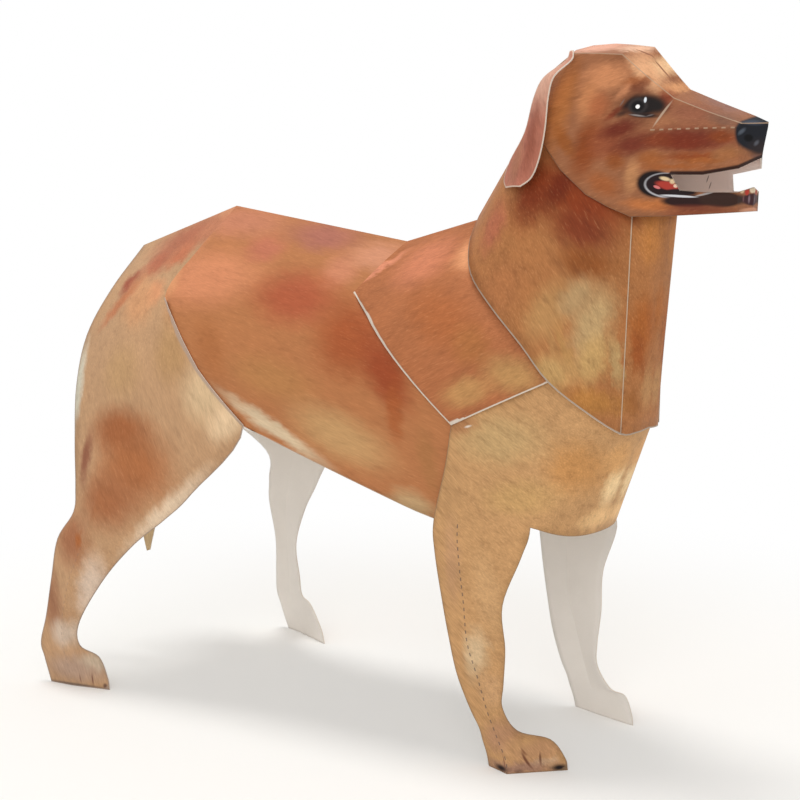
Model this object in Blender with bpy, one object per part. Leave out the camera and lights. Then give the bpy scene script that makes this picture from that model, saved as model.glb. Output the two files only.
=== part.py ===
"""A folded card model of a standing dog, open underneath, built sheet by sheet.

The dog faces +X and its left side is +Y. Sizes are in millimetres until a mesh is made. Heights are
above the ground, and lengths are measured along X from the line through the middle of the front feet.
"""

import bpy
import bmesh
from mathutils import Matrix, Vector

mm = 0.001

# The card and how sheets lie on each other
cardThickness = 0.3
slipGap = 0.3
tuck = 3.5

# The back, seen from the side: where its ridge turns and how high it stands there
tailRootX = -140.0
tailRootHeight = 123.2
rumpX = -105.2
rumpHeight = 135.0
loinX = -48.7
loinHeight = 126.5
withersX = -26.9
withersHeight = 132.6
withersRise = 0.3

# The trunk across: half widths, the height of its widest place, and how far the belly tucks in
hipHalf = 27.0
chestHalf = 28.0
widestHeight = 84.0
bellyTuck = 5.0
bellyDepth = 26.0
rumpRounding = 0.22

# The breast, seen from above: it rounds forward from the shoulder line
shoulderX = -19.0
breastX = 20.0
breastSlope = 0.375
breastSquareness = 2.2

# The belly edge of the flank, at the thigh and at the front leg
bellyRearHeight = 79.3
bellyFrontX = -19.0
bellyFrontHeight = 56.5

# The shoulder flap: its rear corner on the crease, its low corner and its front corner
flapRearX = -55.0
flapRearHeight = 113.9
flapLowX = -18.2
flapLowHeight = 84.3
flapFrontX = 7.0
flapFrontHeight = 96.6
flapSink = 1.0

# The bib of the chest sheet between the front legs
bibHalf = 21.5
bibTopHeight = 85.8
bibLowHeight = 56.8
bibCornerRise = 3.6

# Legs: how far the feet stand from the middle, and how much further out the left hind one does
frontFootHalf = 24.0
hindFootHalf = 36.0
leftHindOut = 8.5

# The head and the neck: the withers' height that the head's lines are drawn for, and the neck's half
# widths. The head, the ears and the top of the neck go up and down with the withers.
headDrawnForWithers = 132.6
headX = 0.0
headLift = withersHeight - headDrawnForWithers
neckBaseHalf = 11.0
neckTopHalf = 12.4
neckEase = 0.15

# The ears and the tail
earStandOff = 2.4
earWidth = 11.0
tailWidth = 11.0

# How finely the strips are divided
legSteps = 3
legAcross = 3
flankAcross = 9

layer = cardThickness + slipGap
spotTolerance = 0.02
soleReach = 0.15


def mix(a, b, t):
    """The value, or the point, a share t of the way from a to b."""
    if isinstance(a, (int, float)):
        return a + (b - a) * t
    return tuple(mix(p, q, t) for p, q in zip(a, b))


def spline(keys, steps):
    """Points on a smooth curve through the keys, with the same number of steps from key to key."""
    points = []
    last = len(keys) - 1
    for index in range(last):
        before = keys[max(index - 1, 0)]
        here = keys[index]
        there = keys[index + 1]
        after = keys[min(index + 2, last)]
        for step in range(steps):
            t = step / steps
            point = []
            for p, q, r, s in zip(before, here, there, after):
                slopeIn = (r - p) / 2 if index > 0 else r - q
                slopeOut = (s - q) / 2 if index + 2 <= last else r - q
                square = t * t
                cube = square * t
                value = q * (2 * cube - 3 * square + 1) + slopeIn * (cube - 2 * square + t)
                value += r * (3 * square - 2 * cube) + slopeOut * (cube - square)
                point.append(value)
            points.append(tuple(point))
    points.append(tuple(keys[-1]))
    return points


def straight(keys, steps):
    """Points on the straight runs between the keys."""
    points = []
    for here, there in zip(keys, keys[1:]):
        points += [mix(here, there, step / steps) for step in range(steps)]
    points.append(tuple(keys[-1]))
    return points


def ridge(x):
    """The height of the back's ridge at x."""
    turns = [(tailRootX, tailRootHeight), (rumpX, rumpHeight)]
    turns += [(loinX, loinHeight), (withersX, withersHeight)]
    if x <= tailRootX:
        return tailRootHeight
    for (xa, za), (xb, zb) in zip(turns, turns[1:]):
        if x <= xb:
            return mix(za, zb, (x - xa) / (xb - xa))
    return withersHeight + withersRise * (x - withersX)


def breast(z):
    """How far forward the breast reaches at height z."""
    return breastX + breastSlope * (z - widestHeight)


def trunkHalf(x, z):
    """Half the width of the trunk's skin at a place seen from the side."""
    top = ridge(x)
    hips = min(max((x - rumpX) / (shoulderX - rumpX), 0.0), 1.0)
    half = mix(hipHalf, chestHalf, hips)
    drop = min(max((top - z) / (top - widestHeight), 0.0), 1.0)
    half *= 1 - (1 - drop) ** 2.2
    if z < widestHeight:
        half -= bellyTuck * ((widestHeight - z) / bellyDepth) ** 2
    if x > shoulderX:
        reach = min((x - shoulderX) / (breast(z) - shoulderX), 1.0)
        half *= (1 - reach ** breastSquareness) ** (1 / breastSquareness)
    if x < tailRootX + 18:
        half *= 1 - rumpRounding * ((tailRootX + 18 - x) / 23) ** 2
    return half


def skin(x, z, under=0.0):
    """The right side's point at x and z on the trunk's skin, moved a depth under it, or out of it."""
    half = trunkHalf(x, z)
    if under == 0:
        return (x, -half, z)
    probe = 0.5
    alongSlope = (trunkHalf(x + probe, z) - trunkHalf(x - probe, z)) / (2 * probe)
    upSlope = (trunkHalf(x, z + probe) - trunkHalf(x, z - probe)) / (2 * probe)
    outward = Vector((-alongSlope, -1, -upSlope)).normalized()
    return (x - outward.x * under, min(-half - outward.y * under, 0.0), z - outward.z * under)


def mirrored(line):
    return [(x, -y, z) for x, y, z in line]


class Sheet:
    """A sheet of card under construction: strips of points that grow together where they meet."""

    def __init__(self):
        self.mesh = bmesh.new()

    def loft(self, lines):
        """Faces between neighbouring lines, which all have the same number of points."""
        rows = [[self.mesh.verts.new(Vector(point) * mm) for point in line] for line in lines]
        for upper, lower in zip(rows, rows[1:]):
            for corners in zip(upper, upper[1:], lower[1:], lower):
                self.mesh.faces.new(corners)

    def faceOutwards(self):
        """All faces the same way round, away from the dog's middle plane."""
        bmesh.ops.recalc_face_normals(self.mesh, faces=self.mesh.faces)
        outward = 0.0
        for face in self.mesh.faces:
            outward += face.calc_area() * face.normal.y * face.calc_center_median().y
        if outward < 0:
            bmesh.ops.reverse_faces(self.mesh, faces=self.mesh.faces)

    def finish(self, name, colour, thickness):
        """One closed solid: the strips joined, then thickened inwards."""
        bmesh.ops.remove_doubles(self.mesh, verts=self.mesh.verts, dist=spotTolerance * mm)
        bmesh.ops.dissolve_degenerate(self.mesh, edges=self.mesh.edges, dist=spotTolerance * mm)
        self.faceOutwards()
        bmesh.ops.triangulate(self.mesh, faces=self.mesh.faces)
        data = bpy.data.meshes.new(name)
        self.mesh.to_mesh(data)
        self.mesh.free()
        sheet = bpy.data.objects.new(name, data)
        bpy.context.scene.collection.objects.link(sheet)
        data.materials.append(card(name, colour))
        thicken = sheet.modifiers.new("Card", "SOLIDIFY")
        thicken.thickness = thickness * mm
        thicken.offset = -1
        return sheet


def flattenSoles(sheet):
    """Presses the cut edges of a sheet's feet flat, so that they stand evenly on the ground."""
    bpy.context.view_layer.update()
    solid = sheet.evaluated_get(bpy.context.evaluated_depsgraph_get())
    data = bpy.data.meshes.new_from_object(solid)
    for corner in data.vertices:
        if corner.co.z < soleReach * mm:
            corner.co.z = 0.0
    sheet.modifiers.clear()
    sheet.data = data


def card(name, colour):
    material = bpy.data.materials.new(name + "_card")
    material.use_nodes = True
    shader = material.node_tree.nodes["Principled BSDF"]
    shader.inputs["Base Color"].default_value = (*colour, 1)
    shader.inputs["Roughness"].default_value = 0.6
    shader.inputs["Metallic"].default_value = 0.0
    return material


def slitLine():
    """The front edge of the thigh over the flank, from the slit's top to the belly."""
    return [(-115.0, 110.2), (-108.6, 104.1), (-102.7, 97.6), (-97.6, 91.8), (-90.2, 85.2), (-82.4, 78.6)]


def hindLegLines(side):
    """Rear edge, fold and front edge of a thigh and hind leg, from the ridge to the sole."""
    topRear = (tailRootX, 0, tailRootHeight)
    topFront = (rumpX, 0, rumpHeight)
    slit = [skin(x, z) for x, z in slitLine()]
    out = hindFootHalf
    rear = [topRear, skin(-141.4, 111), skin(-146, 98), (-145.2, -24, 84), (-142, -28.5, 69)]
    fold = [mix(topRear, topFront, 0.5), skin(-127, 117), skin(-130, 104), (-124, -27.8, 91)]
    fold.append((-121, -30.2, 75))
    front = [topFront, skin(-110.5, 122.8), slit[0], slit[2], slit[5]]
    if side == "right":
        rear += [(-138.8, -32, 57), (-138.4, -33.5, 50), (-143.4, 1 - out, 42), (-145.2, -out, 31)]
        rear += [(-147.3, -0.5 - out, 19.5), (-149.7, -0.5 - out, 11.5), (-149, -out, 7), (-147.6, -out, 3)]
        rear += [(-146.5, -out, 0)]
        fold += [(-127, -33.5, 60), (-130.5, -35, 49), (-133.5, -out, 41), (-138, -1 - out, 30)]
        fold += [(-140.6, -1 - out, 19), (-141, -0.7 - out, 12), (-140.5, -out, 8), (-139.5, 0.6 - out, 3)]
        fold += [(-139, 0.6 - out, 0)]
        front += [(-101, -26.5, 58), (-110, -27.3, 50), (-120, 7 - out, 42), (-129.5, 5 - out, 31.5)]
        front += [(-137.5, 3 - out, 18.5), (-137.8, 3 - out, 11.5), (-132, 4.5 - out, 8.6)]
        front += [(-128, 3.6 - out, 3.4), (-127.2, 3.4 - out, 0)]
    else:
        far = -out - leftHindOut
        rear[4] = (-136, -28, 72)
        rear += [(-119.5, -30.5, 60), (-120, -32.5, 51), (-122, -35, 43.5), (-122, 6.5 + far, 31)]
        rear += [(-124.5, 3 + far, 19), (-125.5, 1.5 + far, 12.5), (-124.8, 0.5 + far, 8)]
        rear += [(-123.5, far, 3.5), (-122, far, 0)]
        fold[4] = (-114, -30, 75)
        fold += [(-110, -31, 59.5), (-113, -33, 50.5), (-115.5, -35, 43), (-118, 6 + far, 31)]
        fold += [(-119.5, 3 + far, 19), (-120, 2 + far, 12.8), (-119, 1.5 + far, 9.5)]
        fold += [(-117, 2 + far, 4), (-116, 2 + far, 0)]
        front += [(-94.8, -27, 58), (-100, -29, 50.5), (-105.5, -31, 42.5), (-111, -34, 31)]
        front += [(-112, 7.5 + far, 20), (-112.6, 5.5 + far, 13.5), (-108.6, 6.5 + far, 11.2)]
        front += [(-103.5, 8 + far, 4.5), (-102.3, 8 + far, 0)]
    return rear, fold, front


def acrossLeg(rear, fold, front, rounded):
    """A row of points over a leg: round over a thigh, and creased at the fold lower down."""
    if rounded:
        return spline([rear, fold, front], legAcross)
    return straight([rear, fold, front], legAcross)


def bodySide(sheet, side):
    """One side of the body sheet: thigh and leg, flank, and shoulder flap."""
    finish = mirrored if side == "left" else list
    steps = legSteps
    rear, fold, front = [spline(line, steps) for line in hindLegLines(side)]
    slit = straight(slitLine(), 2 * steps)[::5]
    front[2 * steps:4 * steps + 1] = [skin(x, z) for x, z in slit]
    rows = []
    for index, ends in enumerate(zip(rear, fold, front)):
        rows.append(acrossLeg(*ends, rounded=index <= 5 * steps))
    sheet.loft([finish(row) for row in rows])

    creaseTop = (loinX, ridge(loinX))
    creaseLow = (flapRearX, flapRearHeight)
    crease = straight([creaseTop, creaseLow], 2 * steps)
    saddle = []
    for start, end in zip(front[:2 * steps + 1], crease):
        places = straight([(start[0], start[2]), end], flankAcross)
        row = [skin(x, z) for x, z in places]
        row[0] = start
        saddle.append(row)
    saddle[0] = [(x, 0, ridge(x)) for x, y, z in saddle[0]]
    sheet.loft([finish(row) for row in saddle])

    sheet.loft([finish(row) for row in flankRows(saddle[-1])])
    sheet.loft([finish(row) for row in flapRows(crease)])


def flankRows(waist):
    """The flank below the waist, tucked under the thigh, the shoulder flap and the front leg."""
    slit = straight(slitLine(), 2)
    rearEdge = []
    for k, (x, z) in enumerate(slit):
        rearEdge.append((x - mix(0.3, tuck, min(k / 3, 1)), z - mix(0.1, 1.0, k / 10)))
    rearEdge[-1] = (slit[-1][0] - tuck, bellyRearHeight)
    flapEdge = straight([(flapRearX, flapRearHeight), (flapLowX, flapLowHeight)], 6)
    frontEdge = [(x + tuck * min(k / 2, 1), z) for k, (x, z) in enumerate(flapEdge)]
    frontEdge += straight([frontEdge[-1], (bellyFrontX, bellyFrontHeight)], 4)[1:]
    rows = [waist]
    for k in range(1, 11):
        places = straight([rearEdge[k], frontEdge[k]], flankAcross)
        row = []
        for x, z in places:
            under = layer
            if x > flapLowX - 14:
                under += layer * min((x - flapLowX + 14) / 7, 1)
            row.append(skin(x, z, under))
        rows.append(row)
    return rows


def flapRows(crease):
    """The shoulder flap, from the crease behind it to the place where it goes under the neck."""
    lowEdge = straight([(flapRearX, flapRearHeight), (flapLowX, flapLowHeight)], 6)
    rearEdge = crease + lowEdge[1:]
    frontKeys = [(withersX + 6, ridge(withersX + 6)), (-20, 124), (-15, 118.5), (-7, 112), (1.5, 104)]
    frontKeys.append((flapFrontX, flapFrontHeight))
    frontEdge = spline(frontKeys, 2 * legSteps + 6)[::5]
    rows = []
    for start, end in zip(rearEdge, frontEdge):
        places = straight([start, end], 10)
        depths = [flapSink * max(k - 8, 0) / 2 for k in range(11)]
        rows.append([skin(x, z, depth) for (x, z), depth in zip(places, depths)])
    rows[0] = [(x, 0, ridge(x)) for x, y, z in rows[0]]
    return rows


def bodySheet():
    sheet = Sheet()
    bodySide(sheet, "right")
    bodySide(sheet, "left")
    return sheet.finish("body_sheet", (0.62, 0.30, 0.16), cardThickness)


def frontLegLines(side):
    """Rear edge, fold and front edge of a front leg, from under the shoulder flap to the sole."""
    out = frontFootHalf
    rear = [skin(-17.4, 88, layer), skin(-18.6, 83.9, layer), (-20.5, -26.9, 74), (-24.2, -26.1, 60)]
    fold = [skin(-12, 91, layer + slipGap), skin(-13, 86, layer), (-14.5, -27.3, 75), (-16.7, -27.2, 60)]
    front = [skin(2, 97.5, layer + flapSink), skin(1.7, 90, layer + flapSink * 0.6), skin(1, 75, layer)]
    front.append((0.2, -bibHalf, 60.2))
    if side == "right":
        rear += [(-24.2, -25.6, 52), (-22.4, -25, 40), (-20.6, -0.6 - out, 30.5), (-18.4, -0.3 - out, 21.5)]
        rear += [(-14.9, -out, 13.5), (-12.2, -out, 9), (-11, -0.2 - out, 6), (-9.6, -0.6 - out, 3)]
        rear += [(-8.8, -0.8 - out, 0)]
        fold += [(-16.7, -26.6, 51), (-15.6, -26, 40), (-14.8, -1.6 - out, 30.5), (-12, -1.2 - out, 22)]
        fold += [(-9.5, -0.8 - out, 14), (-6.6, -1.4 - out, 8.6), (-4.6, -2.4 - out, 6)]
        fold += [(-2.8, -3 - out, 3), (-2.4, -3.2 - out, 0)]
        front += [(-2.2, -bibHalf, 52.5), (-7.2, -bibHalf, 40), (-6.5, 2.8 - out, 29), (-7, 3 - out, 20)]
        front += [(-7.2, 3 - out, 14), (-3.5, 4 - out, 8.6), (4.5, 6 - out, 7.4)]
        front += [(8.2, 7 - out, 3), (8.8, 7.2 - out, 0)]
    else:
        rear += [(-23.5, -27, 52), (-21.7, -26.5, 40), (-19.9, -2 - out, 30.5), (-18, -1.7 - out, 21.5)]
        rear += [(-15.4, -1.6 - out, 13.5), (-13.4, -1.8 - out, 9), (-12.5, -2.1 - out, 6)]
        rear += [(-11.5, -2.4 - out, 3), (-10.8, -2.6 - out, 0)]
        fold += [(-15.7, -28, 51), (-14.6, -27.5, 40), (-13.8, -3 - out, 30.5), (-11, -2.6 - out, 22)]
        fold += [(-8.5, -2.2 - out, 14), (-6.4, -1.6 - out, 8.6), (-5, -1 - out, 6)]
        fold += [(-3.6, -0.3 - out, 3), (-3, -0.1 - out, 0)]
        front += [(2.3, -22.5, 52.5), (-1.6, -22.8, 40), (-1.9, 1.3 - out, 29), (-2.8, 1.5 - out, 20)]
        front += [(-2.6, 1.5 - out, 14), (1.5, 2 - out, 8.6), (5.9, 2.2 - out, 7.4)]
        front += [(8.2, 2.8 - out, 3), (8.7, 3 - out, 0)]
    return rear, fold, front


def bibLine(share):
    """A line down the breast, at a share of the way from its middle, 0, to a leg's front edge, 1."""
    across = share * bibHalf
    top = mix(bibTopHeight, flapFrontHeight + 0.9, share ** 3)
    bottom = bibLowHeight + bibCornerRise * share ** 4
    line = []
    for z in (top, mix(top, widestHeight - 9, 0.5), widestHeight - 9, bottom):
        half = chestHalf - layer - 0.6
        reach = (1 - min(across / half, 1) ** breastSquareness) ** (1 / breastSquareness)
        line.append((shoulderX + (breast(z) - layer - shoulderX) * reach, -across, z))
    return line


def chestSheet():
    """The breast and both front legs, one sheet bent round the front of the trunk."""
    sheet = Sheet()
    steps = legSteps
    fronts = {}
    for side in ("right", "left"):
        finish = mirrored if side == "left" else list
        rear, fold, front = [spline(line, steps) for line in frontLegLines(side)]
        rows = [straight(ends, legAcross) for ends in zip(rear, fold, front)]
        sheet.loft([finish(row) for row in rows])
        fronts[side] = finish(front[:3 * steps + 1])
    bib = [fronts["right"]]
    bib += [spline(bibLine(k / 8), steps) for k in range(7, -1, -1)]
    bib += [mirrored(spline(bibLine(k / 8), steps)) for k in range(1, 8)]
    bib.append(fronts["left"])
    sheet.loft(bib)
    return sheet.finish("chest_sheet", (0.60, 0.31, 0.12), cardThickness)


def neckSheet():
    """The neck, a tapering tube that stands over the body and the breast and goes up into the head."""
    sheet = Sheet()
    over = -layer - neckEase
    low = [(withersX - 0.3, 0, withersHeight - over)]
    for x, z in [(-25, 126.4), (-20.1, 119.3), (-11.4, 112.3), (-1.5, 103.9), (5.5, 95.8), (13.3, 88.5)]:
        low.append(skin(x, z, over))
    front = breast(83) - over
    low += [(front - 1.9, -neckBaseHalf, 83), (front, -neckBaseHalf * 0.5, 82.8), (front + 0.4, 0, 83.2)]
    half = neckTopHalf
    high = [(-5.5, 0, 166.8), (-3, 4.5 - half, 163), (-0.5, 2 - half, 157.5), (3, 0.6 - half, 151.5)]
    high += [(7, -half, 146.5), (12.5, 0.1 - half, 141.5), (17, 1.2 - half, 138), (19.8, 2.6 - half, 136)]
    high += [(24, 5.2 - half, 135.7), (25, 0, 135.7)]
    high = [(x + headX, y, z + headLift) for x, y, z in high]
    lowLoop = spline(low, 2)
    highLoop = spline(high, 2)
    lowLoop += mirrored(lowLoop)[-2::-1]
    highLoop += mirrored(highLoop)[-2::-1]
    rows = between(lowLoop, highLoop, 4)
    sheet.loft(rows)
    return sheet.finish("neck_sheet", (0.55, 0.26, 0.11), cardThickness)


def headLines():
    """Lines along the right side of the head, back to front: ridge, seam, cheek, lips and jaw."""
    top = [(-6.2, 0, 169.1), (-0.5, 0, 173.4), (4, 0, 174.3), (10, 0, 174.5), (15, 0, 174), (20, 0, 173.3)]
    top += [(28.7, 0, 163.5), (36.5, 0, 160.3), (45.1, 0, 157), (48.2, 0, 155.6)]
    seam = [(-2.2, -9.4, 168), (3.5, -9.5, 172), (8, -10, 171.8), (12.5, -10, 171.5), (16.4, -10, 171.2)]
    seam += [(22.5, -9.2, 166), (28.6, -8, 161.1), (36.5, -7.6, 158), (44.5, -7, 155.2), (48.2, 0, 155.4)]
    cheek = [(-4.5, -12.6, 160.5), (-1, -13.2, 160), (5.5, -13.6, 158), (11.5, -13.8, 157)]
    cheek += [(17.5, -13, 155.5), (24.8, -12, 153.9), (29, -11.2, 154), (36.5, -9.6, 154.2)]
    cheek += [(44, -7.8, 154.3), (48.1, 0, 154.4)]
    upperLip = [(-4.5, -13.4, 156), (-1.5, -14, 153), (3.5, -14.2, 149.5), (10, -14.2, 146)]
    upperLip += [(16, -13.3, 144.5), (22, -12.4, 143.6), (29.5, -10.8, 143.8), (36.5, -9.2, 143.8)]
    upperLip += [(44.2, -7.3, 145.2), (46.8, 0, 147.6)]
    lowerLip = [(-4.5, -13.4, 154.8), (-1.5, -14, 151.8), (3.2, -14.2, 147.8), (9.8, -14.2, 143)]
    lowerLip += [(15.8, -13.4, 140.6), (22, -12.4, 140), (31.5, -10.4, 140.3), (37, -8.8, 139.9)]
    lowerLip += [(43.9, -6.7, 139.9), (45.3, 0, 141)]
    jaw = [(-4.5, -13.4, 153.6), (-1.5, -14, 150.7), (3, -14.2, 144.9), (9.7, -14.2, 139.2)]
    jaw += [(15, -13.4, 136.4), (20.3, -12.4, 134.2), (28, -10.8, 134.4), (36.5, -8.8, 134.9)]
    jaw += [(43.9, -6.3, 135.4), (45, 0, 135.5)]
    lines = []
    for line in (top, seam, cheek, upperLip, lowerLip, jaw):
        lines.append([(x + headX, y, z + headLift) for x, y, z in line])
    return lines


def headSheet():
    """The head: a roof over two cheeks, closed in front and cut open at the mouth."""
    sheet = Sheet()
    steps = 2
    top, seam, cheek, upperLip, lowerLip, jaw = [straight(line, steps) for line in headLines()]
    # the keys of the lips where the cut starts; the left cheek is cut less far back and shows through
    mouthStarts = {"right": 6 * steps, "left": 7 * steps}
    for side in ("right", "left"):
        finish = mirrored if side == "left" else list
        roof = between(top, seam, 2)
        face = between(seam, cheek, 3)[1:]
        muzzle = between(cheek, upperLip, 3)[1:]
        sheet.loft([finish(row) for row in roof + face + muzzle])
        corner = [row[:mouthStarts[side] + 1] for row in between(upperLip, lowerLip, 2)]
        sheet.loft([finish(row) for row in corner])
        sheet.loft([finish(row) for row in between(lowerLip, jaw, 3)])
    return sheet.finish("head_sheet", (0.60, 0.30, 0.13), cardThickness)


def between(first, second, count):
    """Rows from one line to another, both included."""
    return [[mix(a, b, k / count) for a, b in zip(first, second)] for k in range(count + 1)]


def ear(name, side):
    """An ear that hangs from the top of the head over the neck."""
    sheet = Sheet()
    out = -14.2 - earStandOff
    dx, dz = headX, headLift
    frontKeys = [(4.5, -11.2, 172.5), (5.2, -13.5, 170.2), (2.4, out, 166.5), (1.1, out - 0.4, 161.8)]
    frontKeys += [(0.3, out - 0.4, 154.2), (-1.3, out, 147.7), (-3.3, out, 143.2), (-6.4, out, 141)]
    widths = [earWidth * share for share in (0.12, 0.2, 0.36, 0.5, 0.68, 1, 0.95, 0.5)]
    rows = []
    for (x, y, z), wide in zip(spline(frontKeys, 2), spline([(w, 0) for w in widths], 2)):
        rearY = y + wide[0] * 0.52
        rearPoint = (x - wide[0], rearY, z - wide[0] * 0.05)
        middle = (x - wide[0] * 0.5, mix(y, rearY, 0.32), z)
        rows.append(spline([(x, y, z), middle, rearPoint], 3))
    rows = [[(x + dx, y, z + dz) for x, y, z in row] for row in rows]
    finish = mirrored if side == "left" else list
    sheet.loft([finish(row) for row in rows])
    return sheet.finish(name, (0.42, 0.18, 0.12), cardThickness)


def tailSheet():
    """The tail, a flat sheet that hangs between the thighs and ends in feathered tips."""
    sheet = Sheet()
    x = tailRootX
    z = tailRootHeight
    rear = [(x - 0.5, z - 1.6), (x - 8, z - 9), (x - 15, z - 23), (x - 17, z - 42), (x - 13.5, z - 61)]
    rear += [(x - 5, z - 80), (x - 1.5, z - 91.5)]
    rearLine = spline(rear, 3)
    wide = tailWidth
    rows = []
    widths = [wide * 0.55, wide * 0.7, wide, wide * 1.15, wide * 1.15, wide * 0.7, wide * 0.12]
    for (px, pz), share in zip(rearLine, spline([(w, 0) for w in widths], 3)):
        rows.append([(px + share[0] * k / 4, 0.0, pz + share[0] * 0.35 * k / 4) for k in range(5)])
    sheet.loft([[(px, -cardThickness / 2, pz) for px, py, pz in row] for row in rows])
    return sheet.finish("tail_sheet", (0.66, 0.42, 0.26), cardThickness)


def centreOnOrigin(pieces):
    """Moves the whole model so that its box stands on the origin."""
    bpy.context.view_layer.update()
    graph = bpy.context.evaluated_depsgraph_get()
    points = []
    for piece in pieces:
        solid = piece.evaluated_get(graph)
        points += [solid.matrix_world @ corner.co for corner in solid.data.vertices]
    low = Vector([min(point[axis] for point in points) for axis in range(3)])
    high = Vector([max(point[axis] for point in points) for axis in range(3)])
    shift = Vector((-(low.x + high.x) / 2, -(low.y + high.y) / 2, -low.z))
    for piece in pieces:
        piece.data.transform(Matrix.Translation(shift))
    return shift


for thing in list(bpy.data.objects):
    bpy.data.objects.remove(thing, do_unlink=True)

pieces = [bodySheet(), chestSheet(), neckSheet(), headSheet()]
for footed in pieces[:2]:
    flattenSoles(footed)
pieces += [ear("ear_right", "right"), ear("ear_left", "left"), tailSheet()]
modelShift = centreOnOrigin(pieces)
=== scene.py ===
import bpy
import bmesh
import math
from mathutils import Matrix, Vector, geometry, kdtree


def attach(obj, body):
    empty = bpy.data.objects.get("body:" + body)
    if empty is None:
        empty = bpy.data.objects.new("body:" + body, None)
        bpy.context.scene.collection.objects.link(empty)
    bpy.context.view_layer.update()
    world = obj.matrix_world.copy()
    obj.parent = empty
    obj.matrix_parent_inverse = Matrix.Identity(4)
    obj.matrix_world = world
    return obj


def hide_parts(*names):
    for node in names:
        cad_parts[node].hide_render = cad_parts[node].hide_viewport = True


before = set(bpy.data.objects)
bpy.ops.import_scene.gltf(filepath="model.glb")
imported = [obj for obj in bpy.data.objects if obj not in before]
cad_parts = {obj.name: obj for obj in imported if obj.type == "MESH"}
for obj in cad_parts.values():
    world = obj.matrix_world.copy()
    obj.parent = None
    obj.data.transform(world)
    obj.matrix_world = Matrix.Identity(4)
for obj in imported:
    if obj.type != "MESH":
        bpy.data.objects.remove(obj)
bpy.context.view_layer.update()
print("frame loaded")

mm = 0.001
# the model's own zero, on the ground between the front feet, in the frame's millimetres
modelShift = Vector((54.4, -3.726, 0.0))
card = {"thickness": 0.3, "gap": 0.3, "tuck": 3.5, "fineness": 6, "weld": 0.02}
layer = card["thickness"] + card["gap"]
fine = card["fineness"]


# Camera, light and floor

photoView = {
    "lens": 72, "sensor": 36, "nearest": 0.01, "place": (177.8, -352.2, 145.0), "azimuth": 33, "down": 8.2,
}
studio = {
    "sky": (1, 0.99, 0.97, 1), "skyLight": 0.64, "floor": (0.96, 0.955, 0.94, 1), "floorRadius": 6.0,
    "bleach": 0.1, "bleachFrom": 0.09, "bleachTo": 0.26,
}
lamps = {
    "topLamp": {
        "place": (-0.12, 0.04, 1.35), "aim": (0, 0, 0.05), "size": 0.4, "power": 6.2,
        "colour": (1, 0.985, 0.96),
    },
    "frontLamp": {
        "place": (0.5, -1.1, 0.75), "aim": (0, 0, 0.07), "size": 0.9, "power": 4.2,
        "colour": (1, 0.985, 0.97),
    },
}
white = (1, 1, 1, 1)


class Wiring:
    # a tree of shader nodes that is wired step by step

    def __init__(self, tree):
        self.nodes = tree.nodes
        self.links = tree.links

    def fill(self, node, inputs):
        # each input, by name or number, gets a value or a link from another node's output
        for name, value in inputs.items():
            if isinstance(value, bpy.types.NodeSocket):
                self.links.new(value, node.inputs[name])
            else:
                node.inputs[name].default_value = value

    def add(self, kind, inputs, **settings):
        node = self.nodes.new("ShaderNode" + kind)
        for name, value in settings.items():
            setattr(node, name, value)
        self.fill(node, inputs)
        return node

    def math(self, operation, first, second):
        return self.add("Math", {0: first, 1: second}, operation=operation).outputs[0]

    def ramp(self, value, low, high, top=1.0, bottom=0.0):
        limits = {"Value": value, "From Min": low, "From Max": high, "To Min": bottom, "To Max": top}
        return self.add("MapRange", limits, interpolation_type="SMOOTHSTEP").outputs[0]


def addObject(name, data):
    thing = bpy.data.objects.new(name, data)
    bpy.context.scene.collection.objects.link(thing)
    return thing


def aim(thing, place, direction):
    thing.location = place
    thing.rotation_mode = "QUATERNION"
    thing.rotation_quaternion = direction.to_track_quat("-Z", "Y")


def makeCamera():
    data = bpy.data.cameras.new("photoCamera")
    data.lens = photoView["lens"]
    data.sensor_width = photoView["sensor"]
    data.clip_start = photoView["nearest"]
    camera = addObject("photoCamera", data)
    azimuth = math.radians(photoView["azimuth"])
    down = math.radians(photoView["down"])
    back = Vector((math.sin(azimuth) * math.cos(down), -math.cos(azimuth) * math.cos(down), math.sin(down)))
    aim(camera, (Vector(photoView["place"]) + modelShift) * mm, -back)
    bpy.context.scene.camera = camera


def makeStudio():
    scene = bpy.context.scene
    scene.view_settings.view_transform = "Standard"
    scene.world = bpy.data.worlds.new("studioWorld")
    scene.world.use_nodes = True
    world = Wiring(scene.world.node_tree)
    world.nodes.clear()
    # the card is lit by the sky, and the camera sees plain white behind it
    rays = world.add("LightPath", {}).outputs
    seen = world.math("MAXIMUM", rays["Is Camera Ray"], rays["Is Glossy Ray"])
    seen = world.math("MAXIMUM", seen, rays["Is Transmission Ray"])
    sky = world.add("Background", {"Color": studio["sky"], "Strength": studio["skyLight"]})
    backdrop = world.add("Background", {"Color": white, "Strength": 1.0})
    blend = world.add("MixShader", {0: seen, 1: sky.outputs[0], 2: backdrop.outputs[0]})
    world.add("OutputWorld", {"Surface": blend.outputs[0]})
    for name, lamp in lamps.items():
        data = bpy.data.lights.new(name, "AREA")
        data.shape = "DISK"
        data.size = lamp["size"]
        data.energy = lamp["power"]
        data.color = lamp["colour"]
        aim(addObject(name, data), lamp["place"], Vector(lamp["aim"]) - Vector(lamp["place"]))


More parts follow.
